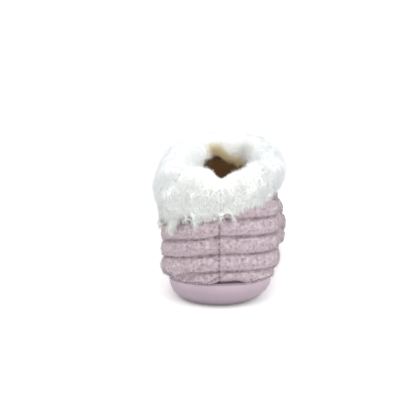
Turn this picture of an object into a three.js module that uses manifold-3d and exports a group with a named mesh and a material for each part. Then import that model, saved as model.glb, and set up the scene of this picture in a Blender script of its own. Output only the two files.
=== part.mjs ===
// A house slipper for the right foot: a ribbed plush upper in a moulded cup sole, an insole and a fur collar.
// Millimetres, +Z up, toe towards +Y, outer side of the foot towards +X.
// The origin is on the floor under the widest line of the heel.
import * as THREE from "three";
import { mergeVertices } from "three/addons/utils/BufferGeometryUtils.js";
import Module from "manifold-3d";

const wasm = await Module();
wasm.setup();

// Sole
const soleLength = 258;
const ballWidth = 90;
const heelWidth = 72;
const heelDepth = 38; // back of the heel to its widest line
const toeShift = 9; // swing of the toe towards the inner side
const toeSpring = 8;
const archLift = 2.5;
const lipHeight = 18; // rim of the cup over the floor, at the back of the heel
const lipWall = 4;
const lipRound = 1.2;
const heelFloor = 11; // thickness of the cup's floor
const ballFloor = 8;
const edgeRise = 16; // height of the rounding of the bottom edge
const outerEdgeInset = 17;
const innerEdgeInset = 11;
const treadPitch = 12;
const treadWidth = 4;
const treadDepth = 1.6;
const treadMargin = 8; // from the end of a groove to the edge of the tread

// Insole
const insoleThickness = 5;
const insoleDish = 1;
const insoleDishInset = 9;
const insoleRound = 1;

// Upper
const upperWall = 3;
const ribPitch = 12;
const ribHeight = 3.5;
const firstGroove = 9.5; // lowest groove over the lip, at the heel seam
const ribTurn = 150; // back of the heel to where the ribs run straight along the vamp
const ribFall = 26; // fall of a rib against the lip, from the heel seam to there
const plushOverhang = 2.2; // base of the plush outside the rim of the sole
const tuckHeight = 7;
const noseHeight = 10; // upright front of the toe
const instepHeight = 93;
const throatDistance = 108; // back of the heel to the throat
const throatRound = 24;
const collarHeight = 78;
const collarDip = 4;
const collarFront = 88;
const plainBand = 9; // width of the band under the collar where the ribs die out

// Fur collar
const furOut = 7;
const furIn = 14;
const furRise = 14;
const furHang = 15; // outside, under the edge of the upper
const furDip = 15; // inside
const lockLength = 12;
const lockRoot = 7.5; // how deep a lock starts inside the fur
const lockRadius = 4.2;
const lockSpread = 0.4; // how much the locks differ in size
const lockStray = 0.8; // how far they stray from straight out
const lockDroop = 0.25; // fall of a lock's tip as a share of its length
const lockCount = 72;
const furLumps = [
  { size: 0.1, turn: 2.1 },
  { size: 0.06, turn: 4.7 },
]; // swell of the fur from one station to the next

const clearance = 0.3;

// The sole's plan by share of its length: how far each side has gone from half the heel's width to half the
// ball's.
const planRows = [
  { at: 0.147, outer: 0.0, inner: 0.0 },
  { at: 0.3, outer: 0.12, inner: -0.13 },
  { at: 0.42, outer: 0.44, inner: -0.15 },
  { at: 0.53, outer: 0.95, inner: 0.1 },
  { at: 0.64, outer: 1.32, inner: 0.45 },
  { at: 0.72, outer: 1.24, inner: 0.65 },
];
const toeFrom = 0.72;
const toePower = { outer: 2.15, inner: 2.5 };
const bendFrom = 0.45;

// Height of the sole's lip, as a share of the lip at the heel.
const lipRows = [
  { at: 0.0, outer: 1.0, inner: 1.0 },
  { at: 0.07, outer: 0.97, inner: 0.9 },
  { at: 0.147, outer: 0.93, inner: 0.78 },
  { at: 0.45, outer: 0.8, inner: 0.72 },
  { at: 0.7, outer: 0.78, inner: 0.78 },
  { at: 0.88, outer: 0.86, inner: 0.86 },
  { at: 1.0, outer: 0.95, inner: 0.95 },
];

// Arch and toe spring, as shares of the length.
const archFrom = 0.28;
const archTo = 0.54;
const springFrom = 0.66;

// Crest of the closed last as a share of the instep's height, and how square its section is.
const crestRows = [
  { at: 0.147, crest: 1.32, square: 4.0 },
  { at: 0.3, crest: 1.16, square: 3.4 },
  { at: 0.42, crest: 1.0, square: 2.6 },
  { at: 0.5, crest: 0.89, square: 2.4 },
  { at: 0.6, crest: 0.775, square: 2.3 },
  { at: 0.72, crest: 0.68, square: 2.3 },
  { at: 0.86, crest: 0.61, square: 2.4 },
  { at: 1.0, crest: 0.56, square: 2.4 },
];
const domePower = 2.4;

// Section of the fur round the edge of the upper, as shares of its reach to that side, its rise and its hang.
const furSection = [
  { out: 0.5, up: -1.0 },
  { out: 0.95, up: -0.55 },
  { out: 1.0, up: 0.05 },
  { out: 0.8, up: 0.6 },
  { out: 0.3, up: 0.95 },
  { out: -0.3, up: 1.0 },
  { out: -0.75, up: 0.65 },
  { out: -1.0, up: 0.05 },
  { out: -0.9, up: -0.6 },
  { out: -0.55, up: -1.0 },
];

// Rings of locks at corners of that section. Follows is how far a lock's size goes by the hang at its place.
const lockRings = [
  { corner: 0, fall: 0, out: 0.35, size: 1, follows: 0.65 },
  { corner: 2, fall: 1.3, out: 0, size: 0.9, follows: 0.65 },
  { corner: 4, fall: 0.4, out: 0, size: 0.9, follows: 0 },
  { corner: 7, fall: 0.8, out: 0, size: 0.75, follows: 0 },
];

// How the fur grows on each side from the heel seam, at 0, to the throat, at 1, as shares of its named sizes.
const furRows = {
  outer: [
    { at: 0.0, out: 0.9, in: 0.8, rise: 0.95, hang: 0.9, dip: 1.0 },
    { at: 0.12, out: 0.9, in: 0.9, rise: 1.5, hang: 0.65, dip: 1.0 },
    { at: 0.3, out: 0.8, in: 0.9, rise: 1.45, hang: 0.2, dip: 0.9 },
    { at: 0.55, out: 1.4, in: 0.95, rise: 1.25, hang: 0.1, dip: 0.8 },
    { at: 0.8, out: 1.9, in: 0.9, rise: 1.35, hang: 0.4, dip: 0.5 },
    { at: 1.0, out: 1.4, in: 0.7, rise: 0.9, hang: 1.0, dip: 0.25 },
  ],
  inner: [
    { at: 0.0, out: 0.9, in: 0.8, rise: 0.95, hang: 0.9, dip: 1.0 },
    { at: 0.12, out: 1.0, in: 1.1, rise: 1.5, hang: 1.1, dip: 1.0 },
    { at: 0.3, out: 1.1, in: 1.25, rise: 1.3, hang: 1.2, dip: 0.9 },
    { at: 0.55, out: 1.2, in: 1.4, rise: 1.3, hang: 1.1, dip: 0.8 },
    { at: 0.8, out: 1.7, in: 1.1, rise: 1.5, hang: 0.9, dip: 0.5 },
    { at: 1.0, out: 1.4, in: 0.7, rise: 0.9, hang: 1.0, dip: 0.25 },
  ],
};

// Steps of the columns along one side, from the heel seam to the tip of the toe.
const heelSteps = 7;
const waistSteps = 10;
const toeSteps = 8;
const lastStep = heelSteps + waistSteps + toeSteps;
const rowsPerRib = 4;
const searchRounds = 30; // halvings when a place on a curve is searched
const nearby = 0.05; // step, or run, to a neighbouring point when a direction is taken
const sameGrid = 0.002; // points closer than this are one
const profileSteps = 48;
const innerRows = 12;
const tuckRows = 4;
const nearLip = 1.2; // last row of the plush over the lip

const toeStart = toeFrom * soleLength - heelDepth;
const toeTip = soleLength - heelDepth;
const throat = throatDistance - heelDepth;
const fullTuck = plushOverhang + lipWall + clearance;

// One column of a table, as a smooth function of its place.
function reader(rows, key) {
  const places = rows.map((row) => row.at);
  const values = rows.map((row) => row[key]);
  const curve = new THREE.CubicInterpolant(places, values, 1);
  return (at) => curve.evaluate(at)[0];
}

const sides = { 1: "outer", "-1": "inner" };
const spread = { 1: reader(planRows, "outer"), "-1": reader(planRows, "inner") };
const lipShare = { 1: reader(lipRows, "outer"), "-1": reader(lipRows, "inner") };
const seamSlope = { 1: 0.02, "-1": 0.17 }; // slope of a rib where it meets the heel seam
const crestShare = reader(crestRows, "crest");
const squareness = reader(crestRows, "square");

const clamp = THREE.MathUtils.clamp;
const shareAt = (y) => (y + heelDepth) / soleLength;
const stepAt = (y) => heelSteps + (waistSteps * y) / toeStart;
const rounded = (share, power) => Math.pow(Math.max(0, 1 - Math.pow(share, power)), 1 / power);

function centreLine(y) {
  const bend = clamp((shareAt(y) - bendFrom) / (1 - bendFrom), 0, 1);
  return -toeShift * bend * bend;
}

// How far round the toe a step has gone, from 0 where the toe starts to 1 at its tip.
const toeShare = (step) => Math.sin((clamp((step - heelSteps - waistSteps) / toeSteps, 0, 1) * Math.PI) / 2);

// Point of the sole's rim.
function rimPoint(side, step) {
  if (step <= heelSteps) {
    const turn = ((step / heelSteps) * Math.PI) / 2;
    return new THREE.Vector2(((side * heelWidth) / 2) * Math.sin(turn), -heelDepth * Math.cos(turn));
  }
  const share = toeShare(step);
  const waist = Math.min(1, (step - heelSteps) / waistSteps);
  const y = toeStart * waist + (toeTip - toeStart) * share;
  const half = (heelWidth + (ballWidth - heelWidth) * spread[side](shareAt(y))) / 2;
  return new THREE.Vector2(centreLine(y) + side * half * rounded(share, toePower[sides[side]]), y);
}

// Direction straight out of the rim, in plan.
function outward(side, step) {
  const before = rimPoint(side, Math.max(0, step - nearby));
  const after = rimPoint(side, Math.min(lastStep, step + nearby));
  if (step === 0) before.set(-after.x, after.y);
  if (step === lastStep) return new THREE.Vector2(0, 1);
  const along = after.sub(before).normalize();
  return new THREE.Vector2(side * along.y, -side * along.x);
}

function groundHeight(at) {
  const arch = clamp((at - archFrom) / (archTo - archFrom), 0, 1);
  const spring = Math.max(0, (at - springFrom) / (1 - springFrom));
  return archLift * Math.pow(Math.sin(arch * Math.PI), 2) + toeSpring * spring * spring;
}

function floorHeight(at) {
  const forward = THREE.MathUtils.smoothstep(at, archFrom, archTo);
  return groundHeight(at) + THREE.MathUtils.lerp(heelFloor, ballFloor, forward);
}

const lipTop = (side, at) => groundHeight(at) + lipHeight * lipShare[side](at);

// A ring round the shoe: up the outer side from the heel seam to the tip, then back down the inner side.
function ring(place) {
  const points = [];
  for (let step = 0; step <= lastStep; step += 1) points.push(place(1, step));
  for (let step = lastStep - 1; step > 0; step -= 1) points.push(place(-1, step));
  return points;
}

// A ring inside the rim, with the height that a function gives.
function insetRing(inset, height) {
  return ring((side, step) => {
    const rim = rimPoint(side, step);
    const at = shareAt(rim.y);
    const depth = typeof inset === "function" ? inset(side, step) : inset;
    rim.addScaledVector(outward(side, step), -depth);
    return new THREE.Vector3(rim.x, rim.y, height(side, at));
  });
}

// The closed skin over a stack of rings. Its ends are closed from side to side, or joined to each other.
// Equal points are merged.
function skinOver(rings, joined = false) {
  const points = [];
  const known = new Map();
  const idOf = (point) => {
    const key = point.toArray().map((value) => Math.round(value / sameGrid)).join(",");
    if (!known.has(key)) {
      known.set(key, points.length);
      points.push(point);
    }
    return known.get(key);
  };
  const ids = rings.map((points) => points.map(idOf));
  const faces = [];
  const face = (a, b, c) => {
    if (a !== b && b !== c && c !== a) faces.push(a, b, c);
  };
  const count = ids[0].length;
  for (let level = 0; level + (joined ? 0 : 1) < ids.length; level += 1) {
    const lower = ids[level];
    const upper = ids[(level + 1) % ids.length];
    for (let k = 0; k < count; k += 1) {
      const next = (k + 1) % count;
      face(lower[k], lower[next], upper[next]);
      face(lower[k], upper[next], upper[k]);
    }
  }
  if (joined) return { points, faces, ids };
  const close = (row, turned) => {
    for (let k = 0; k < count / 2; k += 1) {
      const quad = [row[k], row[k + 1], row[(count - k - 1) % count], row[(count - k) % count]];
      if (turned) quad.reverse();
      face(quad[0], quad[1], quad[2]);
      face(quad[0], quad[2], quad[3]);
    }
  };
  close(ids[0], true);
  close(ids[ids.length - 1], false);
  return { points, faces, ids };
}

function solidFrom(coordinates, corners) {
  const vertProperties = new Float32Array(coordinates);
  const triVerts = new Uint32Array(corners);
  return new wasm.Manifold(new wasm.Mesh({ numProp: 3, vertProperties, triVerts }));
}

function skinToSolid(skin) {
  return solidFrom(skin.points.flatMap((point) => point.toArray()), skin.faces);
}

function geometryToSolid(geometry) {
  geometry.deleteAttribute("normal");
  geometry.deleteAttribute("uv");
  const merged = mergeVertices(geometry, sameGrid);
  return solidFrom(merged.getAttribute("position").array, merged.index.array);
}

function solidToGeometry(solid) {
  const mesh = solid.getMesh();
  const geometry = new THREE.BufferGeometry();
  geometry.setAttribute("position", new THREE.BufferAttribute(new Float32Array(mesh.vertProperties), 3));
  geometry.setIndex(new THREE.BufferAttribute(new Uint32Array(mesh.triVerts), 1));
  geometry.computeVertexNormals();
  return geometry;
}

// A sheet outline in the plane of length and height, made a slab right across the shoe.
function slabAcross(outline) {
  const shape = new THREE.Shape(outline.map(([y, z]) => new THREE.Vector2(y, z)));
  const slab = new THREE.ExtrudeGeometry(shape, { depth: 2 * ballWidth, bevelEnabled: false });
  slab.translate(0, 0, -ballWidth);
  const turn = new THREE.Matrix4().makeBasis(
    new THREE.Vector3(0, 1, 0),
    new THREE.Vector3(0, 0, 1),
    new THREE.Vector3(1, 0, 0),
  );
  slab.applyMatrix4(turn);
  return geometryToSolid(slab);
}

// The rounding of the bottom edge is wider along the outer side than along the inner one.
function edgeInset(side, step) {
  const middle = (outerEdgeInset + innerEdgeInset) / 2;
  const wanted = side > 0 ? outerEdgeInset : innerEdgeInset;
  const sideways = outward(side, step).x;
  return THREE.MathUtils.lerp(middle, wanted, sideways * sideways);
}

// Where the rim of a side crosses a place along the shoe.
function rimAcross(side, y) {
  let behind = 0;
  let ahead = lastStep;
  for (let k = 0; k < searchRounds; k += 1) {
    const middle = (behind + ahead) / 2;
    if (rimPoint(side, middle).y < y) behind = middle;
    else ahead = middle;
  }
  return rimPoint(side, behind).x;
}

function treadGroove(y) {
  const at = shareAt(y);
  const right = rimAcross(1, y) - outerEdgeInset;
  const left = rimAcross(-1, y) + innerEdgeInset;
  const length = right - left - 2 * treadMargin;
  const depth = 2 * treadDepth + groundHeight(at);
  const groove = new THREE.BoxGeometry(length, treadWidth, depth);
  groove.translate((right + left) / 2, y, groundHeight(at) + treadDepth - depth / 2);
  return geometryToSolid(groove);
}

function buildOutsole() {
  const rings = [];
  const roundingSteps = 5;
  for (let k = 0; k <= roundingSteps; k += 1) {
    const turn = ((k / roundingSteps) * Math.PI) / 2;
    const rise = (edgeRise / lipHeight) * (1 - Math.cos(turn));
    const inset = (side, step) => edgeInset(side, step) * (1 - Math.sin(turn));
    rings.push(insetRing(inset, (side, at) => groundHeight(at) + rise * lipHeight * lipShare[side](at)));
  }
  rings.push(insetRing(0, (side, at) => lipTop(side, at) - lipRound));
  rings.push(insetRing(lipRound, (side, at) => lipTop(side, at)));
  rings.push(insetRing(lipWall - lipRound / 2, (side, at) => lipTop(side, at)));
  rings.push(insetRing(lipWall, (side, at) => lipTop(side, at) - lipRound / 2));
  rings.push(insetRing(lipWall, (side, at) => floorHeight(at)));
  let sole = skinToSolid(skinOver(rings));
  const lastGrooves = toeTip - 2 * outerEdgeInset;
  for (let y = -1.5 * treadPitch; y < lastGrooves; y += treadPitch) {
    sole = sole.subtract(treadGroove(y));
  }
  return sole;
}

function buildInsole() {
  const edge = lipWall + clearance + upperWall + clearance;
  const bottom = (side, at) => floorHeight(at) + clearance;
  const top = (side, at) => bottom(side, at) + insoleThickness;
  return skinToSolid(
    skinOver([
      insetRing(edge, bottom),
      insetRing(edge, (side, at) => top(side, at) - insoleRound),
      insetRing(edge + insoleRound, top),
      insetRing(edge + insoleDishInset, (side, at) => top(side, at) - insoleDish),
    ]),
  );
}

// Crest point of the closed last, a wall's thickness lower on its inner face.
function crestPoint(step, wall) {
  if (step <= heelSteps) return new THREE.Vector3(0, 0, instepHeight * crestShare(shareAt(0)) - wall);
  const share = toeShare(step);
  const rim = rimPoint(1, step);
  const at = shareAt(rim.y);
  const nose = (lipTop(1, at) + lipTop(-1, at)) / 2 + clearance + noseHeight;
  const crest = nose + (instepHeight * crestShare(at) - nose) * rounded(share, domePower);
  const forward = (plushOverhang - wall) * share ** 3;
  return new THREE.Vector3(centreLine(rim.y), rim.y + forward, crest - wall);
}

// One section of the upper from its crest down to the lip of the sole, with the length run along it.
function columnOf(side, step, wall) {
  const rim = rimPoint(side, step);
  const at = shareAt(rim.y);
  const out = outward(side, step);
  const foot = rim.clone().addScaledVector(out, plushOverhang - wall);
  const crest = crestPoint(step, wall);
  const base = lipTop(side, at) + clearance;
  const power = squareness(at);
  const points = [];
  const lengths = [0];
  for (let k = 0; k <= profileSteps; k += 1) {
    const turn = ((1 - k / profileSteps) * Math.PI) / 2;
    const reach = Math.pow(Math.cos(turn) ** power + Math.sin(turn) ** power, -1 / power);
    const plan = new THREE.Vector2(crest.x, crest.y).lerp(foot, reach * Math.cos(turn));
    points.push(new THREE.Vector3(plan.x, plan.y, base + (crest.z - base) * reach * Math.sin(turn)));
    if (k > 0) lengths.push(lengths[k - 1] + points[k].distanceTo(points[k - 1]));
  }
  return { points, lengths, length: lengths[profileSteps], out, base, wall };
}

// The point a given length down a column, tucked in behind the lip of the sole near its foot.
function downColumn(column, run) {
  const k = clamp(column.lengths.findIndex((length) => length >= run), 1, profileSteps);
  const span = column.lengths[k] - column.lengths[k - 1];
  const share = span > 0 ? (run - column.lengths[k - 1]) / span : 0;
  const point = column.points[k - 1].clone().lerp(column.points[k], clamp(share, 0, 1));
  const height = point.z - column.base - column.wall;
  if (height < tuckHeight) {
    const steep = 1 - Math.max(0, height) / tuckHeight;
    const tuck = fullTuck * (1 - Math.sqrt(1 - steep * steep));
    const out = run > 0 ? column.out : new THREE.Vector2(0, 1);
    point.x -= out.x * tuck;
    point.y -= out.y * tuck;
  }
  return point;
}

// Height of the collar's edge over a place along the shoe. Round the throat it climbs to the crest.
function collarEdge(y) {
  const share = clamp(shareAt(y) * (soleLength / throatDistance), 0, 1);
  const climb = (collarFront - collarHeight) * share * share;
  const side = collarHeight + climb - collarDip * Math.sin(share * Math.PI);
  const turn = clamp((y - throat + throatRound) / throatRound, 0, 1);
  return side + (instepHeight - side) * (1 - Math.sqrt(1 - turn * turn));
}

// The ribs run along the vamp with one on its crest. Behind it they bend smoothly into lines that climb to
// the heel seam, where a groove lies just over the lip.
const throatStep = stepAt(throat);
const turnStep = stepAt(ribTurn - heelDepth);
const meanRun = (columnOf(1, turnStep, 0).length + columnOf(-1, turnStep, 0).length) / 2;
const seamRibs = Math.round((meanRun + ribFall - firstGroove) / ribPitch - 0.5) + 0.5;
const seamRun = seamRibs * ribPitch + firstGroove;
const turnRun = seamRun - ribFall;

// Run of the ribs from the crest line to the lip at one column, and how far they are stretched there.
function ribsOf(side, step, column) {
  const turnColumn = columnOf(side, turnStep, 0);
  const stretch = turnColumn.length / turnRun;
  if (step >= turnStep) return { atLip: column.length / stretch, stretch };
  const ahead = turnStep + nearby;
  const fall = turnColumn.length - columnOf(side, ahead, 0).length;
  const slope = fall / (stretch * rimLength(side, turnStep, ahead));
  const whole = rimLength(side, 0);
  const back = rimLength(side, step) / whole;
  const rise = back * back * (3 - 2 * back) * ribFall;
  const bendOut = back * (1 - back) * (1 - back) * slope * whole;
  const bendIn = back * back * (back - 1) * seamSlope[side] * whole;
  return { atLip: turnRun + rise + bendOut + bendIn, stretch: THREE.MathUtils.lerp(stretch, 1, back) };
}

// Length of the rim from one step forward to another.
function rimLength(side, from, to = turnStep) {
  const parts = 40;
  let length = 0;
  for (let k = 0; k < parts; k += 1) {
    const a = rimPoint(side, THREE.MathUtils.lerp(from, to, k / parts));
    const b = rimPoint(side, THREE.MathUtils.lerp(from, to, (k + 1) / parts));
    length += a.distanceTo(b);
  }
  return length;
}

// How far the ribs stand out at a point: full on a crest, nothing in a groove, at the lip or under the fur.
function ribSwell(run, point, left) {
  const phase = (run / ribPitch + 0.5) % 1;
  const bulge = Math.pow(Math.sin(phase * Math.PI), 0.6);
  const under = Math.max(collarEdge(Math.min(point.y, throat)) - point.z, point.y - throat);
  const shown = THREE.MathUtils.smoothstep(under, 0, plainBand);
  return ribHeight * bulge * shown * THREE.MathUtils.smoothstep(left, nearLip, nearLip + ribHeight);
}

// The outer face of the closed last as a solid, with its ribs and an extra skin.
function outerForm(extra) {
  const count = Math.ceil(seamRun / (ribPitch / rowsPerRib));
  const columns = ring((side, step) => {
    const column = columnOf(side, step, 0);
    return { ...column, ...ribsOf(side, step, column), side, step };
  });
  const bottom = columns.map((column) => {
    const foot = downColumn(column, column.length);
    const at = shareAt(rimPoint(column.side, column.step).y);
    return foot.setZ(floorHeight(at) + clearance);
  });
  const rings = [bottom, columns.map((column) => downColumn(column, column.length))];
  const swells = [columns.map(() => 0), columns.map(() => 0)];
  for (let row = count; row >= -1; row -= 1) {
    const runs = columns.map((column) => {
      const wanted = column.length - column.stretch * (column.atLip - (row * ribPitch) / rowsPerRib);
      return row < 0 ? 0 : clamp(wanted, 0, Math.max(0, column.length - nearLip));
    });
    const points = columns.map((column, k) => downColumn(column, runs[k]));
    rings.push(points);
    swells.push(
      columns.map((column, k) => {
        const left = column.length - runs[k];
        return ribSwell(Math.max(0, column.atLip - left / column.stretch), points[k], left);
      }),
    );
  }
  const skin = skinOver(rings);
  const amounts = new Float32Array(skin.points.length);
  skin.ids.forEach((row, level) => row.forEach((id, k) => (amounts[id] = swells[level][k])));
  const shape = new THREE.BufferGeometry().setFromPoints(skin.points).setIndex(skin.faces);
  shape.computeVertexNormals();
  const normals = shape.getAttribute("normal");
  skin.points.forEach((point, id) => {
    const normal = new THREE.Vector3().fromBufferAttribute(normals, id);
    point.addScaledVector(normal, amounts[id] + extra);
  });
  return skinToSolid(skin);
}

// The hollow of the closed last, a wall's thickness inside it and open downwards.
function innerForm(wall) {
  const columns = ring((side, step) => columnOf(side, step, wall));
  const below = heelFloor + toeSpring;
  const rings = [columns.map((column) => downColumn(column, column.length).setZ(-below))];
  for (let row = 0; row <= innerRows; row += 1) {
    rings.push(
      columns.map((column) => {
        const tucked = Math.min(column.length, wall + tuckHeight);
        const above = column.length - tucked;
        if (row < tuckRows) return downColumn(column, above + tucked * (1 - row / tuckRows));
        return downColumn(column, (above * (innerRows - row)) / (innerRows - tuckRows));
      }),
    );
  }
  return skinToSolid(skinOver(rings));
}

// What the collar's opening takes away, moved by a clearance where room is made for the edge.
function openingForm(room) {
  const top = 2 * instepHeight;
  const outline = [[-2 * heelDepth, top], [-2 * heelDepth, collarEdge(-heelDepth)]];
  const steps = 16;
  for (let k = 0; k <= steps; k += 1) {
    const y = THREE.MathUtils.lerp(-heelDepth, throat - throatRound, k / steps);
    outline.push([y, collarEdge(y)]);
  }
  for (let k = 1; k <= steps / 2; k += 1) {
    const y = throat - throatRound * (1 - Math.sin(((k / (steps / 2)) * Math.PI) / 2));
    outline.push([y, collarEdge(y)]);
  }
  outline.push([throat, top]);
  return slabAcross(outline.map(([y, z]) => [y - room, z + room]));
}

function buildUpper() {
  return outerForm(0).subtract(innerForm(upperWall)).subtract(openingForm(0));
}

// Room that the upper needs inside the fur.
function upperWithRoom() {
  return outerForm(clearance).subtract(innerForm(upperWall + clearance)).subtract(openingForm(clearance));
}

// Stations of the edge of the collar on one side, from the heel seam to the throat.
function collarStations(side) {
  const steps = [];
  for (let step = 0; step <= heelSteps; step += 1) steps.push(step);
  const sideSteps = 3;
  for (let k = 1; k <= sideSteps; k += 1) steps.push(stepAt(((throat - throatRound) * k) / (sideSteps + 1)));
  const cornerSteps = 5;
  for (let k = 0; k <= cornerSteps; k += 1) {
    const turn = ((k / cornerSteps) * Math.PI) / 2;
    steps.push(stepAt(throat - throatRound * (1 - Math.sin(turn))));
  }
  return steps.map((step, k) => ({ side, step, run: runToEdge(side, step), place: k / (steps.length - 1) }));
}

// Run down a column from the crest to the edge of the collar.
function runToEdge(side, step) {
  const column = columnOf(side, step, 0);
  let above = 0;
  let below = column.length;
  for (let k = 0; k < searchRounds; k += 1) {
    const middle = (above + below) / 2;
    const point = downColumn(column, middle);
    if (point.z > collarEdge(point.y)) above = middle;
    else below = middle;
  }
  return step >= throatStep ? 0 : above;
}

const facePoint = (side, step, run) => downColumn(columnOf(side, step, 0), Math.max(0, run));

// The frame of the fur at each station: the edge, the way out of the upper and the way down along it.
function collarFrames() {
  const inner = collarStations(-1).slice(1, -1).reverse();
  const stations = [...collarStations(1), ...inner];
  const points = stations.map(({ side, step, run }) => facePoint(side, step, run));
  const count = points.length;
  const overMouth = new THREE.Vector3(0, throat / 4, instepHeight + furRise);
  return stations.map((station, k) => {
    const { side, step, run } = station;
    const edge = points[k];
    const along = points[(k + 1) % count].clone().sub(points[(k + count - 1) % count]).normalize();
    const forward = facePoint(side, step + nearby, run).sub(edge).divideScalar(nearby);
    const lower = facePoint(side, step, run + nearby).sub(edge).divideScalar(nearby);
    const out = new THREE.Vector3().crossVectors(lower, forward).multiplyScalar(side).normalize();
    const down = new THREE.Vector3().crossVectors(out, along).normalize();
    if (down.dot(edge.clone().sub(overMouth)) < 0) down.negate();
    const up = down.clone().negate().add(new THREE.Vector3(0, 0, 0.8)).normalize();
    return { ...station, edge, out, down, up, forward, lower };
  });
}

// Point on the upper's face a given way down from the edge of the collar.
function belowEdge(frame, way) {
  const { forward, lower, down, side, step, run } = frame;
  const ff = forward.dot(forward);
  const ll = lower.dot(lower);
  const fl = forward.dot(lower);
  const fd = forward.dot(down) * way;
  const ld = lower.dot(down) * way;
  const scale = ff * ll - fl * fl;
  return facePoint(side, step + (fd * ll - ld * fl) / scale, run + (ld * ff - fd * fl) / scale);
}

// A chance value from 0 to 1 that is the same each time.
const chance = (seed) => THREE.MathUtils.euclideanModulo(Math.sin(seed * 12.9898) * 43758.5453, 1);

// The fur's section round the edge at one station, with two more points inside the upper's wall.
function furSectionAt(frame, k) {
  const value = (name) => reader(furRows[sides[frame.side]], name)(frame.place);
  const lump = furLumps.reduce((sum, { size, turn }) => sum + size * Math.sin(turn * k), 1);
  const hang = furHang * value("hang");
  const dip = furDip * value("dip");
  const reachOut = furOut * value("out") * lump;
  const reachIn = furIn * value("in") * lump;
  const points = furSection.map((row) => {
    const reach = row.out > 0 ? reachOut : reachIn;
    const fall = row.out > 0 ? hang : dip;
    const base =
      row.up > 0
        ? frame.edge.clone().addScaledVector(frame.up, furRise * value("rise") * lump * row.up)
        : belowEdge(frame, -row.up * fall);
    return base.addScaledVector(frame.out, row.out * reach);
  });
  for (const fall of [dip, hang]) {
    points.push(belowEdge(frame, 0.9 * fall).addScaledVector(frame.out, -upperWall / 2));
  }
  return points;
}

// A tapered lock of hair that bends down towards its tip.
function furLock(root, along, length, radius) {
  const profile = [
    [0, 0],
    [radius, 0.3 * length],
    [0.7 * radius, 0.75 * length],
    [0, length],
  ];
  const lock = new THREE.LatheGeometry(profile.map(([x, y]) => new THREE.Vector2(x, y)), 5);
  lock.applyQuaternion(new THREE.Quaternion().setFromUnitVectors(new THREE.Vector3(0, 1, 0), along));
  const position = lock.getAttribute("position");
  for (let k = 0; k < position.count; k += 1) {
    const point = new THREE.Vector3().fromBufferAttribute(position, k);
    const gone = point.dot(along) / length;
    position.setZ(k, point.z - lockDroop * length * gone * gone);
  }
  lock.translate(root.x, root.y, root.z);
  return geometryToSolid(lock);
}

function buildFurCollar() {
  const frames = collarFrames();
  const sections = frames.map(furSectionAt);
  const body = skinToSolid(skinOver([...sections].reverse(), true));
  const locks = [];
  for (let k = 0; k < lockCount; k += 1) {
    const frame = frames[Math.floor((k * frames.length) / lockCount)];
    const section = sections[Math.floor((k * frames.length) / lockCount)];
    const { corner, fall, out, size, follows } = lockRings[k % lockRings.length];
    const hanging = reader(furRows[sides[frame.side]], "hang")(frame.place);
    const middle = frame.edge.clone().addScaledVector(frame.up, furRise / 4);
    const along = section[corner].clone().sub(middle).normalize();
    along.addScaledVector(frame.out, out).addScaledVector(frame.down, fall * hanging);
    const stray = new THREE.Vector3(chance(k) - 0.5, chance(k + 0.3) - 0.5, chance(k + 0.6) - 0.5);
    along.addScaledVector(stray, lockStray).normalize();
    const root = section[corner].clone().addScaledVector(along, -lockRoot);
    const grown = size * (1 - follows + follows * hanging) * (1 + lockSpread * (chance(k + 0.8) - 0.5));
    locks.push(furLock(root, along, lockLength * grown, lockRadius * grown));
  }
  return wasm.Manifold.union([body, ...locks]).subtract(upperWithRoom());
}

const materials = {
  outsole: new THREE.MeshStandardMaterial({ color: 0xb7a4ad, roughness: 0.62, metalness: 0 }),
  insole: new THREE.MeshStandardMaterial({ color: 0x5a4431, roughness: 0.95, metalness: 0 }),
  upper: new THREE.MeshStandardMaterial({ color: 0xc0adb2, roughness: 1, metalness: 0 }),
  fur_collar: new THREE.MeshStandardMaterial({ color: 0xf3f4f0, roughness: 1, metalness: 0 }),
};

const slipper = new THREE.Group();
const builders = {
  outsole: buildOutsole,
  insole: buildInsole,
  upper: buildUpper,
  fur_collar: buildFurCollar,
};
for (const [name, build] of Object.entries(builders)) {
  const mesh = new THREE.Mesh(solidToGeometry(build()), materials[name]);
  mesh.name = name;
  slipper.add(mesh);
}

export default slipper;
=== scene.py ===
# House slipper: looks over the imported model. Metres, toe towards +Y, +Z up, origin under the heel.
import math

import bmesh
import bpy
import numpy as np
from mathutils import Matrix, Vector
from mathutils.bvhtree import BVHTree
from mathutils.kdtree import KDTree


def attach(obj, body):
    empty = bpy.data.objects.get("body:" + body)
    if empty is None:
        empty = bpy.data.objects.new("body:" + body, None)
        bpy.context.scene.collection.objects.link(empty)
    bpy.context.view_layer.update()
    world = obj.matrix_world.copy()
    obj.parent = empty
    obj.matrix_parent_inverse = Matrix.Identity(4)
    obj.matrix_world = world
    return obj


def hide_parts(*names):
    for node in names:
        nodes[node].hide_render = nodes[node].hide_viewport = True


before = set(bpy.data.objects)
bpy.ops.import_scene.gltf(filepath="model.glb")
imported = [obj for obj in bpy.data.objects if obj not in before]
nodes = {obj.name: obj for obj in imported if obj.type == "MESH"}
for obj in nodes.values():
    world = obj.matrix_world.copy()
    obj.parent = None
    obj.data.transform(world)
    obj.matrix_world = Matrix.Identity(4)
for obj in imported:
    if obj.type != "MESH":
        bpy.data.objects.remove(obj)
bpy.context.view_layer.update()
print("frame loaded:", sorted(nodes))

cameraSetup = {
    "target": Vector((0.0, -0.027, 0.0)),  # lowest point of the heel in the picture
    "targetPixel": (221.0, 305.5),
    "picture": 404,
    "distance": 0.95,
    "elevation": 16.5,
    "sensor": 36.0,
    "focalPixels": 1376.8,
    "near": 0.05,
    "far": 60.0,
}


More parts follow.
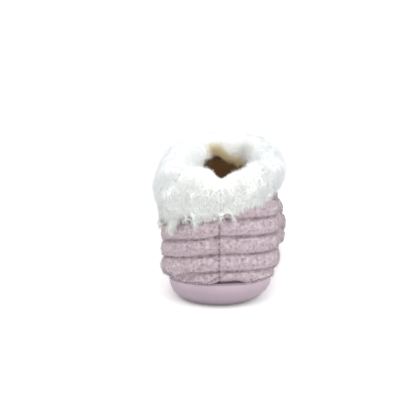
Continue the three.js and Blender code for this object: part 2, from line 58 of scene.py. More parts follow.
def addCamera(setup):
    data = bpy.data.cameras.new("photoCamera")
    data.sensor_width = setup["sensor"]
    data.lens = setup["focalPixels"] * setup["sensor"] / setup["picture"]
    data.clip_start = setup["near"]
    data.clip_end = setup["far"]
    camera = linked("photoCamera", data)
    lift = math.radians(setup["elevation"])
    forward = Vector((0, math.cos(lift), -math.sin(lift)))
    camera.location = setup["target"] - forward * setup["distance"]
    middle = setup["picture"] / 2
    right = (setup["targetPixel"][0] - middle) / setup["focalPixels"]
    down = (setup["targetPixel"][1] - middle) / setup["focalPixels"]
    # the axis points above the heel, so that the heel lands low in the picture
    tilt = lift - math.atan(down)
    turn = math.atan(right / math.cos(math.atan(down)))
    camera.rotation_euler = (math.pi / 2 - tilt, 0, turn)
    bpy.context.scene.camera = camera


lightSetup = {
    "world": 1.0,
    "key": {"at": (-0.9, -1.2, 1.7), "size": 1.4, "watts": 10},
    "fill": {"at": (1.2, -0.8, 1.1), "size": 1.6, "watts": 11},
    "top": {"at": (0.0, 0.4, 1.9), "size": 1.8, "watts": 12},
}


def addLights(setup):
    world = bpy.data.worlds.new("studio")
    world.use_nodes = True
    background = world.node_tree.nodes["Background"]
    background.inputs["Color"].default_value = (1, 1, 1, 1)
    background.inputs["Strength"].default_value = setup["world"]
    bpy.context.scene.world = world
    for name in ("key", "fill", "top"):
        row = setup[name]
        data = bpy.data.lights.new(name, "AREA")
        data.size = row["size"]
        data.energy = row["watts"]
        light = linked(name, data)
        light.location = row["at"]
        light.rotation_euler = (-Vector(row["at"])).to_track_quat("-Z", "Y").to_euler()


floorSetup = {
    "size": 60.0,
    "below": 0.0004,
    "colour": (0.97, 0.97, 0.97, 1),
    "glow": 0.12,  # so that it meets the white background
}


def addFloor(setup):
    bm = bmesh.new()
    bmesh.ops.create_grid(bm, x_segments=1, y_segments=1, size=setup["size"] / 2)
    bmesh.ops.translate(bm, verts=bm.verts, vec=(0, 0, -setup["below"]))
    floor = pieceFrom(bm, "floor")
    material, shader = newMaterial("palePaper")
    shader.inputs["Base Color"].default_value = setup["colour"]
    shader.inputs["Roughness"].default_value = 0.9
    shader.inputs["Emission Color"].default_value = (1, 1, 1, 1)
    shader.inputs["Emission Strength"].default_value = setup["glow"]
    floor.data.materials.append(material)


def linked(name, data):
    thing = bpy.data.objects.new(name, data)
    bpy.context.scene.collection.objects.link(thing)
    return thing


def pieceFrom(bm, name):
    mesh = bpy.data.meshes.new(name)
    bm.to_mesh(mesh)
    bm.free()
    return linked(name, mesh)


# a CAD node is loose triangles, so a copy of it is merged first
def mergedNode(node, distance=2e-6):
    bm = bmesh.new()
    bm.from_mesh(nodes[node].data)
    bmesh.ops.remove_doubles(bm, verts=bm.verts, dist=distance)
    return bm


def remeshed(piece, voxel):
    modifier = piece.modifiers.new("remesh", "REMESH")
    modifier.mode = "VOXEL"
    modifier.voxel_size = voxel
    graph = bpy.context.evaluated_depsgraph_get()
    mesh = bpy.data.meshes.new_from_object(piece.evaluated_get(graph))
    piece.modifiers.clear()
    old = piece.data
    piece.data = mesh
    bpy.data.meshes.remove(old)
    mesh.name = piece.name
    mesh.polygons.foreach_set("use_smooth", np.ones(len(mesh.polygons), bool))


def pointsOf(mesh):
    points = np.zeros(len(mesh.vertices) * 3, np.float32)
    mesh.vertices.foreach_get("co", points)
    return points.reshape(-1, 3).astype(float)


def setPoints(mesh, points):
    mesh.vertices.foreach_set("co", points.astype(np.float32).ravel())
    mesh.update()


def normalsOf(mesh):
    normals = np.zeros(len(mesh.vertices) * 3, np.float32)
    mesh.vertex_normals.foreach_get("vector", normals)
    return normals.reshape(-1, 3).astype(float)


def edgesOf(mesh):
    edges = np.zeros(len(mesh.edges) * 2, np.int32)
    mesh.edges.foreach_get("vertices", edges)
    return edges.reshape(-1, 2)


# each point goes some way towards the mean of its neighbours, round after round
def relaxed(points, edges, amount, rounds=1):
    count = np.maximum(np.bincount(edges.ravel(), minlength=len(points)), 1)[:, None]
    for _ in range(rounds):
        total = np.zeros_like(points)
        for k in range(points.shape[1]):
            total[:, k] += np.bincount(edges[:, 0], points[edges[:, 1], k], len(points))
            total[:, k] += np.bincount(edges[:, 1], points[edges[:, 0], k], len(points))
        points = points + (total / count - points) * amount
    return points


# smooths without shrinking: each round pulls in, then pushes back out a little more
def smoothed(points, edges, rounds, pull=0.5, push=0.52):
    for _ in range(rounds):
        points = relaxed(points, edges, pull)
        points = relaxed(points, edges, -push)
    return points


def setMark(mesh, name, values):
    mark = mesh.attributes.new(name, "FLOAT", "POINT")
    mark.data.foreach_set("value", values.astype(np.float32))


def smoothstep(values, low, high):
    share = np.clip((values - low) / (high - low), 0, 1)
    return share * share * (3 - 2 * share)


def bell(values, middle, width):
    return np.exp(-(((values - middle) / width) ** 2))


def unit(vectors):
    return vectors / np.maximum(np.linalg.norm(vectors, axis=1), 1e-12)[:, None]


def dot(first, second):
    return np.einsum("ij,ij->i", first, second)


waveSetup = {"count": 10, "slowest": 0.6, "fastest": 1.5}


# smooth waves in space that stay the same each run
def waves(points, size, seed):
    chance = np.random.default_rng(seed)
    total = np.zeros(len(points))
    for _ in range(waveSetup["count"]):
        way = unit(chance.normal(size=(1, 3)))[0]
        pace = way * (2 * math.pi / size) * chance.uniform(waveSetup["slowest"], waveSetup["fastest"])
        total += np.sin(points @ pace + chance.uniform(0, 2 * math.pi))
    return total / math.sqrt(waveSetup["count"])


def treeOf(mesh):
    points = [vertex.co.copy() for vertex in mesh.vertices]
    return BVHTree.FromPolygons(points, [tuple(face.vertices) for face in mesh.polygons])


# 1 where nothing of the tree stands within reach along the normal, 0 where it touches
def freeShare(tree, points, normals, reach):
    share = np.ones(len(points))
    for k, (point, normal) in enumerate(zip(points, normals)):
        hit, _, _, far = tree.ray_cast(Vector(point), Vector(normal), reach)
        if hit is not None:
            share[k] = far / reach
    return share


upperTree = treeOf(nodes["upper"].data)
furTree = treeOf(nodes["fur_collar"].data)


def newMaterial(name):
    material = bpy.data.materials.new(name)
    material.use_nodes = True
    shader = material.node_tree.nodes["Principled BSDF"]
    return material, shader


def newGroup(name, inputs, outputs):
    tree = bpy.data.node_groups.new(name, "ShaderNodeTree")
    for socket, kind, value in inputs:
        made = tree.interface.new_socket(name=socket, in_out="INPUT", socket_type=kind)
        if value is not None:
            made.default_value = value
    for socket, kind in outputs:
        tree.interface.new_socket(name=socket, in_out="OUTPUT", socket_type=kind)
    return tree, tree.nodes.new("NodeGroupInput"), tree.nodes.new("NodeGroupOutput")


def place(tree, kind, **values):
    node = tree.nodes.new(kind)
    for key, value in values.items():
        setattr(node, key, value)
    return node


mixSockets = {"factor": 0, "first": 6, "second": 7, "result": 2}  # the ones for colours


def mixColour(tree, factor, first, second, blend="MIX"):
    node = place(tree, "ShaderNodeMix", data_type="RGBA", blend_type=blend)
    for name, value in (("factor", factor), ("first", first), ("second", second)):
        socket = node.inputs[mixSockets[name]]
        if isinstance(value, bpy.types.NodeSocket):
            tree.links.new(value, socket)
        else:
            socket.default_value = value
    return node.outputs[mixSockets["result"]]


# mottled colour between a dark and a light tone
def mottleGroup():
    tree, given, out = newGroup(
        "mottle",
        [
            ("Dark", "NodeSocketColor", None),
            ("Light", "NodeSocketColor", None),
            ("Scale", "NodeSocketFloat", 100.0),
            ("Contrast", "NodeSocketFloat", 1.0),
        ],
        [("Colour", "NodeSocketColor")],
    )
    where = place(tree, "ShaderNodeTexCoord")
    noise = place(tree, "ShaderNodeTexNoise")
    noise.inputs["Detail"].default_value = 4
    tree.links.new(where.outputs["Object"], noise.inputs["Vector"])
    tree.links.new(given.outputs["Scale"], noise.inputs["Scale"])
    centred = place(tree, "ShaderNodeMath", operation="SUBTRACT")
    tree.links.new(noise.outputs["Fac"], centred.inputs[0])
    centred.inputs[1].default_value = 0.5
    spread = place(tree, "ShaderNodeMath", operation="MULTIPLY_ADD", use_clamp=True)
    tree.links.new(centred.outputs[0], spread.inputs[0])
    tree.links.new(given.outputs["Contrast"], spread.inputs[1])
    spread.inputs[2].default_value = 0.5
    colour = mixColour(tree, spread.outputs[0], given.outputs["Dark"], given.outputs["Light"])
    tree.links.new(colour, out.inputs["Colour"])
    return tree


# fine pile or grain as a normal: noise stretched along one way
def grainGroup():
    tree, given, out = newGroup(
        "grain",
        [
            ("Scale", "NodeSocketFloat", 900.0),
            ("Stretch", "NodeSocketVector", (1.0, 1.0, 0.35)),
            ("Strength", "NodeSocketFloat", 0.4),
            ("Depth", "NodeSocketFloat", 0.0006),
        ],
        [("Normal", "NodeSocketVector")],
    )
    where = place(tree, "ShaderNodeTexCoord")
    stretched = place(tree, "ShaderNodeVectorMath", operation="MULTIPLY")
    tree.links.new(where.outputs["Object"], stretched.inputs[0])
    tree.links.new(given.outputs["Stretch"], stretched.inputs[1])
    noise = place(tree, "ShaderNodeTexNoise")
    noise.inputs["Detail"].default_value = 3
    noise.inputs["Roughness"].default_value = 0.6
    tree.links.new(stretched.outputs[0], noise.inputs["Vector"])
    tree.links.new(given.outputs["Scale"], noise.inputs["Scale"])
    bump = place(tree, "ShaderNodeBump")
    tree.links.new(noise.outputs["Fac"], bump.inputs["Height"])
    tree.links.new(given.outputs["Strength"], bump.inputs["Strength"])
    tree.links.new(given.outputs["Depth"], bump.inputs["Distance"])
    tree.links.new(bump.outputs["Normal"], out.inputs["Normal"])
    return tree


groups = {"mottle": mottleGroup(), "grain": grainGroup()}


def placeGroup(tree, group, **values):
    node = place(tree, "ShaderNodeGroup", node_tree=groups[group])
    for key, value in values.items():
        node.inputs[key].default_value = value
    return node


def readMark(tree, name):
    return place(tree, "ShaderNodeAttribute", attribute_name=name).outputs["Fac"]


# 0 below the first height, 1 above the second
def heightShare(tree, low, high):
    where = place(tree, "ShaderNodeTexCoord")
    split = place(tree, "ShaderNodeSeparateXYZ")
    tree.links.new(where.outputs["Object"], split.inputs[0])
    share = place(tree, "ShaderNodeMapRange", interpolation_type="SMOOTHSTEP")
    tree.links.new(split.outputs["Z"], share.inputs["Value"])
    share.inputs["From Min"].default_value = low
    share.inputs["From Max"].default_value = high
    return share.outputs["Result"]


# the top, body and bottom colours are painted light and shade: the foam lighter towards the top,
# darker towards the bottom
soleLook = {
    "top": (0.46, 0.37, 0.425, 1),
    "body": (0.36, 0.288, 0.333, 1),
    "bottom": (0.24, 0.195, 0.218, 1),
    "litTopHeights": (0.009, 0.018),
    "shadedBottomHeights": (0.0, 0.007),
    "mottleDark": (0.9, 0.9, 0.9, 1),
    "sharpAngle": 38.0,
}


def soleMaterial(look):
    material, shader = newMaterial("mouldedFoam")
    tree = material.node_tree
    # painted light and shade by height: lighter at the top, darker at the bottom
    upwards = mixColour(tree, heightShare(tree, *look["litTopHeights"]), look["body"], look["top"])
    colour = mixColour(tree, heightShare(tree, *look["shadedBottomHeights"]), look["bottom"], upwards)
    mottle = placeGroup(
        tree, "mottle", Dark=look["mottleDark"], Light=(1, 1, 1, 1), Scale=60.0, Contrast=1.5
    )
    tinted = mixColour(tree, 1.0, colour, mottle.outputs["Colour"], "MULTIPLY")
    tree.links.new(tinted, shader.inputs["Base Color"])
    grain = placeGroup(tree, "grain", Scale=1600.0, Stretch=(1, 1, 1), Strength=0.12, Depth=0.0003)
    tree.links.new(grain.outputs["Normal"], shader.inputs["Normal"])
    shader.inputs["Roughness"].default_value = 0.55
    shader.inputs["Specular IOR Level"].default_value = 0.35
    return material


def makeOutsole(look):
    bm = mergedNode("outsole")
    limit = math.radians(look["sharpAngle"])
    for face in bm.faces:
        face.smooth = True
    for edge in bm.edges:
        edge.smooth = edge.calc_face_angle(0) < limit
    sole = pieceFrom(bm, "cup_sole")
    sole.data.materials.append(soleMaterial(look))
    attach(sole, "root")
    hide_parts("outsole")
    print("cup sole:", len(sole.data.polygons), "faces")


liningLook = {
    "dark": (0.24, 0.15, 0.08, 1),
    "light": (0.38, 0.25, 0.145, 1),
    "paintedGlow": (0.45, 0.26, 0.13, 1),  # painted glow: a weak warm light the cloth gives off, in place of light coming through it
    "paintedGlowStrength": 0.1,
}


def liningMaterial(look):
    material, shader = newMaterial("brownLining")
    tree = material.node_tree
    mottle = placeGroup(
        tree, "mottle", Dark=look["dark"], Light=look["light"], Scale=420.0, Contrast=2.5
    )
    tree.links.new(mottle.outputs["Colour"], shader.inputs["Base Color"])
    grain = placeGroup(tree, "grain", Scale=1100.0, Stretch=(1, 1, 1), Strength=0.6, Depth=0.0008)
    tree.links.new(grain.outputs["Normal"], shader.inputs["Normal"])
    shader.inputs["Roughness"].default_value = 1.0
    shader.inputs["Specular IOR Level"].default_value = 0.05
    # painted glow: the lining gives off a weak warm light
    shader.inputs["Emission Color"].default_value = look["paintedGlow"]
    shader.inputs["Emission Strength"].default_value = look["paintedGlowStrength"]
    return material


insoleSetup = {"voxel": 0.0018, "rounds": 6, "fill": 0.4}


def makeInsole(setup):
    insole = pieceFrom(mergedNode("insole"), "footbed")
    remeshed(insole, setup["voxel"])
    mesh = insole.data
    setPoints(mesh, smoothed(pointsOf(mesh), edgesOf(mesh), setup["rounds"]))
    mesh.materials.append(liningMaterial(liningLook))
    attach(insole, "root")
    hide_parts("insole")
    print("footbed:", len(mesh.polygons), "faces")


# painted light on the rib crests; painted shade where the fabric faces down, in the valleys and in the
# gap under the hem; the seam colour is the dark seam line
plushLook = {
    "dark": (0.34, 0.265, 0.295, 1),
    "light": (0.55, 0.46, 0.492, 1),
    "groove": (0.33, 0.26, 0.285, 1),
    "under": (0.43, 0.345, 0.38, 1),
    "crest": (0.59, 0.515, 0.55, 1),
    "seam": (0.3, 0.22, 0.245, 1),
}


def plushMaterial(look):
    material, shader = newMaterial("plush")
    tree = material.node_tree
    mottle = placeGroup(
        tree, "mottle", Dark=look["dark"], Light=look["light"], Scale=420.0, Contrast=3.0
    )
    # painted light on the crests, then painted shade on the undersides, in the valleys and in the gap
    crest = mixColour(tree, readMark(tree, "crest"), mottle.outputs["Colour"], look["crest"])
    under = mixColour(tree, readMark(tree, "under"), crest, look["under"])
    groove = mixColour(tree, readMark(tree, "groove"), under, look["groove"])
    seam = mixColour(tree, readMark(tree, "seam"), groove, look["seam"])
    tree.links.new(seam, shader.inputs["Base Color"])
    grain = placeGroup(tree, "grain", Scale=900.0, Stretch=(1, 1, 0.4), Strength=0.6, Depth=0.001)
    tree.links.new(grain.outputs["Normal"], shader.inputs["Normal"])
    shader.inputs["Roughness"].default_value = 0.95
    shader.inputs["Specular IOR Level"].default_value = 0.15
    shader.inputs["Sheen Weight"].default_value = 0.4
    shader.inputs["Sheen Roughness"].default_value = 0.45
    shader.inputs["Sheen Tint"].default_value = (0.95, 0.9, 0.93, 1)
    return material


upperSetup = {
    "voxel": 0.00125,
    "rounds": 3,
    "heel": (0.018, 0.026),  # behind the origin, where the marks of the heel fade in
    "valleyMerge": 0.00001,
    "valleyAngle": 0.62,
    "heelValleyAngle": 0.3,
    "valleyStep": 0.0005,
    "flatRounds": 14,
    "flatEase": 0.6,
    "reliefRounds": 3,
    "reliefEase": 0.5,
    "crestDepth": 0.0011,
    "crestShare": 0.6,
    "under": (-0.25, 0.5),
    "groove": (0.0004, 0.0015),
    "grooveCut": 0.0005,
    "shoulderAt": 0.0024,  # the ribs are full close up to the valleys
    "shoulderWidth": 0.0013,
    "shoulder": 0.0009,
    "inset": 0.0006,  # room for the pile outside the fabric
    "lump": 0.0004,
    "lumpSize": 0.026,
    "seamAt": -0.001,
    "seamWidth": 0.0007,
    "seamDepth": 0.0007,
    "secondSeamAt": -0.0064,
    "secondSeamDepth": 0.0004,
    "pucker": 0.00035,
    "puckerPitch": 0.0031,
    "puckerWidth": 0.006,
    "puckerSway": 2.0,
    "puckerSwaySize": 0.012,
    "gapFrom": -0.009,
    "gapTo": 0.019,
    "gapEase": 0.009,
    "gapLift": 0.0008,
    "hemDrop": 0.0018,
    "hemHeight": 0.0215,
    "hemEase": 0.001,
    "hemRise": 0.004,
}


def finderOf(spots):
    finder = KDTree(len(spots))
    for k, spot in enumerate(spots):
        finder.insert(spot, k)
    finder.balance()
    return finder


# spots along the valleys between the ribs, from the concave edges of the solid
def valleySpots(setup):
    bm = mergedNode("upper", setup["valleyMerge"])
    spots = []
    for edge in bm.edges:
        start, end = (vert.co for vert in edge.verts)
        sharp = setup["heelValleyAngle"] if start.y < 0 else setup["valleyAngle"]
        if len(edge.link_faces) == 2 and edge.calc_face_angle_signed() < -sharp:
            steps = max(1, round(edge.calc_length() / setup["valleyStep"]))
            spots += [start.lerp(end, k / steps) for k in range(steps + 1)]
    bm.free()
    print("valley spots:", len(spots))
    return spots


valleys = finderOf(valleySpots(upperSetup))


def valleyDistance(points):
    return np.array([valleys.find(point)[2] for point in points])


# a line through the foot, which bends inwards to the toe
axisSetup = {"bend": -0.03, "bendLength": 0.22, "front": 0.18, "height": 0.035}


# 1 on the outer side of the upper, 0 on the side that the foot touches
def outerShare(points, normals):
    across = axisSetup["bend"] * np.clip(points[:, 1], 0, None) / axisSetup["bendLength"]
    along = np.clip(points[:, 1], 0.0, axisSetup["front"])
    axis = np.stack([across, along, np.full(len(points), axisSetup["height"])], 1)
    return (dot(normals, points - axis) > 0).astype(float)


def heelShare(setup, points):
    return smoothstep(-points[:, 1], *setup["heel"])


# where the hem of the plush stands off the sole, behind the heel
def gapShare(setup, points):
    ease = setup["gapEase"]
    left = smoothstep(points[:, 0], setup["gapFrom"], setup["gapFrom"] + ease)
    right = 1 - smoothstep(points[:, 0], setup["gapTo"] - ease, setup["gapTo"])
    return left * right * heelShare(setup, points)


# relief is how far each point stands below (more than 0) or above the flattened surface
def plushMarks(setup, points, normals, edges):
    outer = outerShare(points, normals)
    flat = relaxed(points, edges, setup["flatEase"], setup["flatRounds"])
    relief = dot(flat - points, normals)[:, None]
    relief = relaxed(relief, edges, setup["reliefEase"], setup["reliefRounds"])[:, 0]
    away = valleyDistance(points)
    rear = heelShare(setup, points) * outer
    ease = setup["hemEase"]
    hem = 1 - smoothstep(points[:, 2], setup["hemHeight"] - ease, setup["hemHeight"] + ease)
    return {
        "outer": outer,
        "rear": rear,
        # painted shade in the valleys, painted light on the raised crests, painted shade where the
        # surface faces down
        "groove": (1 - smoothstep(away, *setup["groove"])) * outer,
        "shoulder": bell(away, setup["shoulderAt"], setup["shoulderWidth"]) * outer,
        "crest": smoothstep(-relief, 0.0, setup["crestDepth"]) * outer * setup["crestShare"],
        "under": smoothstep(-normals[:, 2], *setup["under"]) * outer,
        "seam": bell(points[:, 0], setup["seamAt"], setup["seamWidth"]) * rear,
        "secondSeam": bell(points[:, 0], setup["secondSeamAt"], setup["seamWidth"]) * rear,
        "gap": gapShare(setup, points) * hem,
    }


# small puckers beside the heel seam
def puckers(setup, points):
    sway = waves(points, setup["puckerSwaySize"], seed=4) * setup["puckerSway"]
    ticks = np.sin(points[:, 2] * 2 * math.pi / setup["puckerPitch"] + sway)
    return ticks * setup["pucker"] * bell(points[:, 0], setup["seamAt"], setup["puckerWidth"])


# the lining takes the faces on the inner side, the plush the others
def shareMaterials(mesh, outer):
    mesh.materials.append(plushMaterial(plushLook))
    mesh.materials.append(liningMaterial(liningLook))
    corners = np.zeros(len(mesh.loops), np.int32)
    mesh.loops.foreach_get("vertex_index", corners)
    starts = np.zeros(len(mesh.polygons), np.int32)
    mesh.polygons.foreach_get("loop_start", starts)
    inside = outer[corners[starts]] < 0.5
    mesh.polygons.foreach_set("material_index", inside.astype(np.int32))


def makeUpper(setup):
    upper = pieceFrom(mergedNode("upper"), "plush_upper")
    remeshed(upper, setup["voxel"])
    mesh = upper.data
    edges = edgesOf(mesh)
    points = smoothed(pointsOf(mesh), edges, setup["rounds"])
    setPoints(mesh, points)
    normals = normalsOf(mesh)
    marks = plushMarks(setup, points, normals, edges)
    out = waves(points, setup["lumpSize"], seed=3) * setup["lump"] - setup["inset"]
    out += marks["shoulder"] * setup["shoulder"] - marks["groove"] * setup["grooveCut"]
    out -= marks["seam"] * setup["seamDepth"] + marks["secondSeam"] * setup["secondSeamDepth"]
    out += puckers(setup, points) * marks["rear"]
    points = points + normals * (out * marks["outer"])[:, None]
    low = 1 - smoothstep(points[:, 2], setup["hemHeight"], setup["hemHeight"] + setup["hemRise"])
    gap = gapShare(setup, points)
    lift = gap * setup["gapLift"] - (1 - gap) * setup["hemDrop"]
    points[:, 2] += lift * low * marks["outer"]
    setPoints(mesh, points)
    # painted shadow in the gap where the hem stands off the sole
    marks["groove"] = np.maximum(marks["groove"], marks["gap"])
    for name in ("groove", "crest", "under", "seam"):
        setMark(mesh, name, marks[name])
    shareMaterials(mesh, marks["outer"])
    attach(upper, "root")
    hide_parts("upper")
    print("plush upper:", len(mesh.polygons), "faces")
    return upper, marks


threadSetup = {
    "from": 0.0235,
    "to": 0.067,
    "stitch": 0.0015,
    "space": 0.0023,
    "radius": 0.00036,
    "raised": 0.6,  # share of the radius
    "halfLength": 0.55,  # share of the stitch
    "behind": 0.2,
    "colour": (0.13, 0.075, 0.095, 1),
    "light": (0.24, 0.16, 0.185, 1),
}


def threadMaterial(look):
    material, shader = newMaterial("seamThread")
    tree = material.node_tree
    mottle = placeGroup(
        tree, "mottle", Dark=look["colour"], Light=look["light"], Scale=900.0, Contrast=1.5
    )
    tree.links.new(mottle.outputs["Colour"], shader.inputs["Base Color"])
    shader.inputs["Roughness"].default_value = 0.8
    return material


# a row of sunk stitches down the heel seam
def makeHeelSeam(setup, upper):
    tree = treeOf(upper.data)
    bm = bmesh.new()
    for low in np.arange(setup["from"], setup["to"], setup["stitch"] + setup["space"]):
        ends = []
        for height in (low, low + setup["stitch"]):
            start = Vector((upperSetup["seamAt"], -setup["behind"], height))
            hit, normal, _, _ = tree.ray_cast(start, Vector((0, 1, 0)))
            ends.append(hit + normal * setup["radius"] * setup["raised"])
        way = ends[1] - ends[0]
        stitch = bmesh.ops.create_uvsphere(bm, u_segments=6, v_segments=5, radius=1.0)["verts"]
        half = way.length * setup["halfLength"]
        size = Matrix.Diagonal((setup["radius"], setup["radius"], half, 1))
        turn = way.to_track_quat("Z", "Y").to_matrix().to_4x4()
        middle = Matrix.Translation((ends[0] + ends[1]) / 2)
        bmesh.ops.transform(bm, matrix=middle @ turn @ size, verts=stitch)
    for face in bm.faces:
        face.smooth = True
    seam = pieceFrom(bm, "heel_seam")
    seam.data.materials.append(threadMaterial(setup))
    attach(seam, "root")
    print("heel seam:", len(seam.data.polygons), "faces")


# places spread evenly over the faces of a mesh, with the normal there
def scatter(mesh, count, seed, wanted):
    chance = np.random.default_rng(seed)
    mesh.calc_loop_triangles()
    corners = np.zeros(len(mesh.loop_triangles) * 3, np.int32)
    mesh.loop_triangles.foreach_get("vertices", corners)
    corners = corners.reshape(-1, 3)
    corners = corners[wanted[corners].all(1)]
    points, normals = pointsOf(mesh), normalsOf(mesh)
    a, b, c = (points[corners[:, k]] for k in range(3))
    area = np.linalg.norm(np.cross(b - a, c - a), axis=1)
    picked = chance.choice(len(corners), count, p=area / area.sum())
    u, v = np.sqrt(chance.random(count)), chance.random(count)
    weights = np.stack([1 - u, u * (1 - v), u * v], 1)
    chosen = corners[picked]
    where = np.einsum("ij,ijk->ik", weights, points[chosen])
    facing = unit(np.einsum("ij,ijk->ik", weights, normals[chosen]))
    return where, facing, chosen[:, 0]


# tips drawn together in tufts round some of the hairs
def tufted(roots, tips, tufts, gather, chance, spread=0.35, most=0.92):
    centres = chance.choice(len(roots), tufts, replace=False)
    finder = finderOf(roots[centres])
    nearest = np.array([finder.find(root)[1] for root in roots])
    owner = centres[nearest]
    goal = tips[owner] + (roots - roots[owner]) * spread
    return tips + (goal - tips) * np.clip(gather, 0, most)[:, None], nearest


keelDepth = 0.3


# thin tapered hairs through rows of points from root to tip: a flat front and a keel behind it
def hairPiece(name, lines, widths, facing, marks, material):
    rings = len(lines)
    count = len(lines[0])
    way = unit(lines[-1] - lines[0])
    side = unit(np.cross(way, facing))
    keel = np.cross(way, side)
    keel *= -np.sign(dot(keel, facing))[:, None] * keelDepth
    turned = dot(np.cross(side, keel), way) < 0
    side[turned] *= -1
    rows = []
    for level in range(rings - 1):
        half = (widths * (1 - level / rings))[:, None] / 2
        rows += [lines[level] + side * half, lines[level] + keel * half, lines[level] - side * half]
    rows.append(lines[-1])
    perHair = len(rows)
    first = np.arange(count)[:, None] * perHair
    triangles = [first + np.array([[2, 1, 0]])]
    quads = [np.zeros((0, 4), int)]
    last = (rings - 2) * 3
    for k in range(3):
        nextOne = (k + 1) % 3
        for low in range(0, last, 3):
            ring = [low + k, low + nextOne, low + 3 + nextOne, low + 3 + k]
            quads.append(first + np.array([ring]))
        triangles.append(first + np.array([[last + k, last + nextOne, perHair - 1]]))
    points = np.stack(rows, 1).reshape(-1, 3)
    mesh = meshFrom(name, points, np.concatenate(triangles), np.concatenate(quads))
    along = [level / (rings - 1) for level in range(rings - 1) for _ in range(3)] + [1.0]
    setMark(mesh, "along", np.tile(np.array(along), count))
    for mark, values in marks.items():
        setMark(mesh, mark, np.repeat(values, perHair))
    mesh.materials.append(material)
    piece = linked(name, mesh)
    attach(piece, "root")


def meshFrom(name, points, triangles, quads):
    mesh = bpy.data.meshes.new(name)
    mesh.vertices.add(len(points))
    mesh.vertices.foreach_set("co", points.astype(np.float32).ravel())
    corners = np.concatenate([triangles.ravel(), quads.ravel()]).astype(np.int32)
    mesh.loops.add(len(corners))
    mesh.loops.foreach_set("vertex_index", corners)
    triangleStarts = np.arange(len(triangles)) * 3
    quadStarts = len(triangles) * 3 + np.arange(len(quads)) * 4
    starts = np.concatenate([triangleStarts, quadStarts]).astype(np.int32)
    mesh.polygons.add(len(starts))
    mesh.polygons.foreach_set("loop_start", starts)
    mesh.update(calc_edges=True)
    return mesh


# the way down along a surface
def downAlong(normals):
    return np.array([0.0, 0.0, -1.0]) + normals * normals[:, 2:3]


# the speck colour serves both the dark specks and the painted shade along the valleys and the seam
pileLook = {
    "root": (0.34, 0.265, 0.29, 1),
    "speckAndShade": (0.24, 0.165, 0.19, 1),
    "tip": (0.58, 0.47, 0.51, 1),
    "pale": (0.82, 0.745, 0.79, 1),
}


def pileMaterial(look):
    material, shader = newMaterial("plushPile")
    tree = material.node_tree
    tip = mixColour(tree, readMark(tree, "tint"), look["tip"], look["pale"])
    # dark specks, and painted shade along the valleys and the seam
    spottedAndShaded = mixColour(tree, readMark(tree, "speckAndShade"), tip, look["speckAndShade"])
    colour = mixColour(tree, readMark(tree, "along"), look["root"], spottedAndShaded)
    tree.links.new(colour, shader.inputs["Base Color"])
    shader.inputs["Roughness"].default_value = 0.9
    shader.inputs["Specular IOR Level"].default_value = 0.2
    shader.inputs["Sheen Weight"].default_value = 0.3
    return material


pileSetup = {
    "hairs": 74000,
    "pieces": 2,
    "clear": 0.003,
    "clearShare": 0.9,
    "length": 0.0014,
    "lengths": (0.7, 1.15),
    "width": 0.0003,
    "sunk": 0.0002,
    "lean": 0.4,
    "nap": 0.35,
    "napSize": 0.03,
    "stray": 0.2,
    "turned": 0.35,
    "nubs": 12500,
    "gather": 0.6,
    "grooveShort": 0.7,
    "seamShort": 0.5,
    "secondSeamShort": 0.3,
    "mostShort": 0.8,
    "gapShort": 0.6,
    "hemBelow": 0.001,
    "hemAbove": 0.003,
    "hemLean": 0.7,
    "hemLonger": 0.7,
    "nubLight": (0.42, 0.3),  # mean and spread
    "lightStray": 0.12,
    "specks": 0.07,
    "seamSpecks": 0.28,
    "seamSpeckWidth": 0.022,
    "speckShare": 0.8,
    "line": (0.0007, 0.0015),
    "seamWidth": 0.0005,
    "seamShade": 0.6,
    # painted shade on the undersides, painted light low on the heel
    "underFade": 0.1,
    "lowHeights": (0.026, 0.036),
    "lowPaintedLight": 0.5,
}


# hairs in nubs, shorter in the valleys and at the seams, longer and hanging at the hem
def growPile(setup, roots, normals, marks, seam, chance):
    hemHeight = upperSetup["hemHeight"]
    hem = 1 - smoothstep(roots[:, 2], hemHeight - setup["hemBelow"], hemHeight + setup["hemAbove"])
    hem *= 1 - marks["gap"]
    nap = waves(roots, setup["napSize"], seed=5)[:, None] * setup["nap"]
    stray = chance.normal(size=roots.shape) * setup["stray"]
    lean = setup["lean"] * (1 + nap) + setup["hemLean"] * hem[:, None]
    way = unit(normals + downAlong(normals) * lean + stray)
    short = setup["grooveShort"] * marks["groove"] + setup["seamShort"] * seam
    short += setup["secondSeamShort"] * marks["secondSeam"]
    length = setup["length"] * chance.uniform(*setup["lengths"], len(roots))
    length *= (1 + setup["hemLonger"] * hem) * (1 - np.clip(short, 0, setup["mostShort"]))
    length *= 1 - setup["gapShort"] * marks["gap"]
    tips = roots + way * length[:, None]
    gather = np.full(len(roots), setup["gather"])
    tips, nub = tufted(roots, tips, setup["nubs"], gather, chance)
    return tips, way, nub


# light and dark nubs and dark specks, with painted shade as dark lines in the valleys and at the seam,
# painted shade on the undersides and painted light low on the heel
def pileTones(setup, roots, tips, nub, marks, seam, chance):
    light = np.clip(chance.normal(*setup["nubLight"], setup["nubs"]), 0, 1)
    drawn = chance.random(setup["nubs"])
    nearSeam = bell(roots[:, 0], upperSetup["secondSeamAt"], setup["seamSpeckWidth"]) * marks["rear"]
    speckAndShade = (drawn[nub] < setup["specks"] + setup["seamSpecks"] * nearSeam).astype(float)
    shade = np.maximum(1 - smoothstep(valleyDistance(tips), *setup["line"]), seam * setup["seamShade"])
    low = 1 - smoothstep(roots[:, 2], *setup["lowHeights"])
    # painted shade on the undersides and painted light low on the heel
    fade = setup["underFade"] * marks["under"] - setup["lowPaintedLight"] * low * marks["rear"]
    stray = chance.normal(0, setup["lightStray"], len(roots))
    tint = np.clip(light[nub] + stray - fade, 0, 1) * (1 - shade)
    return {"tint": tint, "speckAndShade": np.maximum(speckAndShade * setup["speckShare"], shade)}


